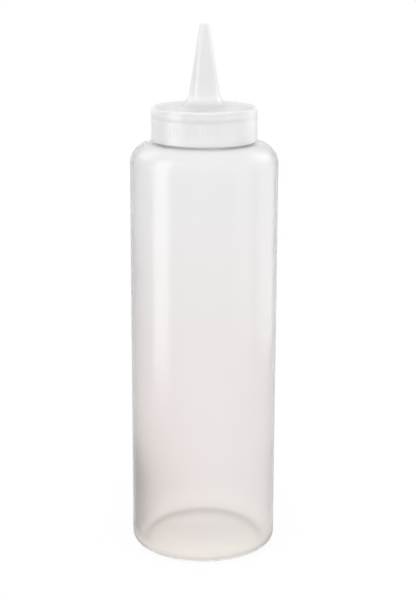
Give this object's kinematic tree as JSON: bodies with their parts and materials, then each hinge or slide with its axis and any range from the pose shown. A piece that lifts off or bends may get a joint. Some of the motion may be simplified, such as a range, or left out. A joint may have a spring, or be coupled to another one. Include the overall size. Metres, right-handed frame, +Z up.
{
  "type": "squeeze sauce bottle",
  "caption": "Translucent cylindrical squeeze bottle with a screw cap that rises into a long cone spout, for dispensing sauce.",
  "frame": {"origin": "middle of the base, on the surface the bottle stands on", "axes": "+Z up along the bottle's axis, towards the spout's tip; +X and +Y lie in the table"},
  "size_m": [0.057, 0.057, 0.2065],
  "materials": {
    "natural_polyethylene": "natural translucent polyethylene, satin blow-moulded surface",
    "soft_seal": "soft white foamed polyethylene, matt",
    "cap_polyethylene": "natural translucent polyethylene, satin injection-moulded surface"
  },
  "bodies": {
    "bottle": {"bottle": "natural_polyethylene"},
    "seal": {"sealing_gasket": "soft_seal"},
    "cap": {"cap": "cap_polyethylene"}
  },
  "joints": [
    {"name": "cap_lift", "type": "slide", "parent": "bottle", "child": "seal", "axis": [0, 0, 1], "range_m": [0, 0.0127]},
    {"name": "cap_turn", "type": "hinge", "parent": "seal", "child": "cap", "pos_m": [0, 0, 0.17], "axis": [0, 0, 1], "range_deg": [0, 1080]}
  ],
  "couplings": [
    {"joint": "cap_lift", "follows": "cap_turn", "m_per_rad": 0.0006737}
  ]
}
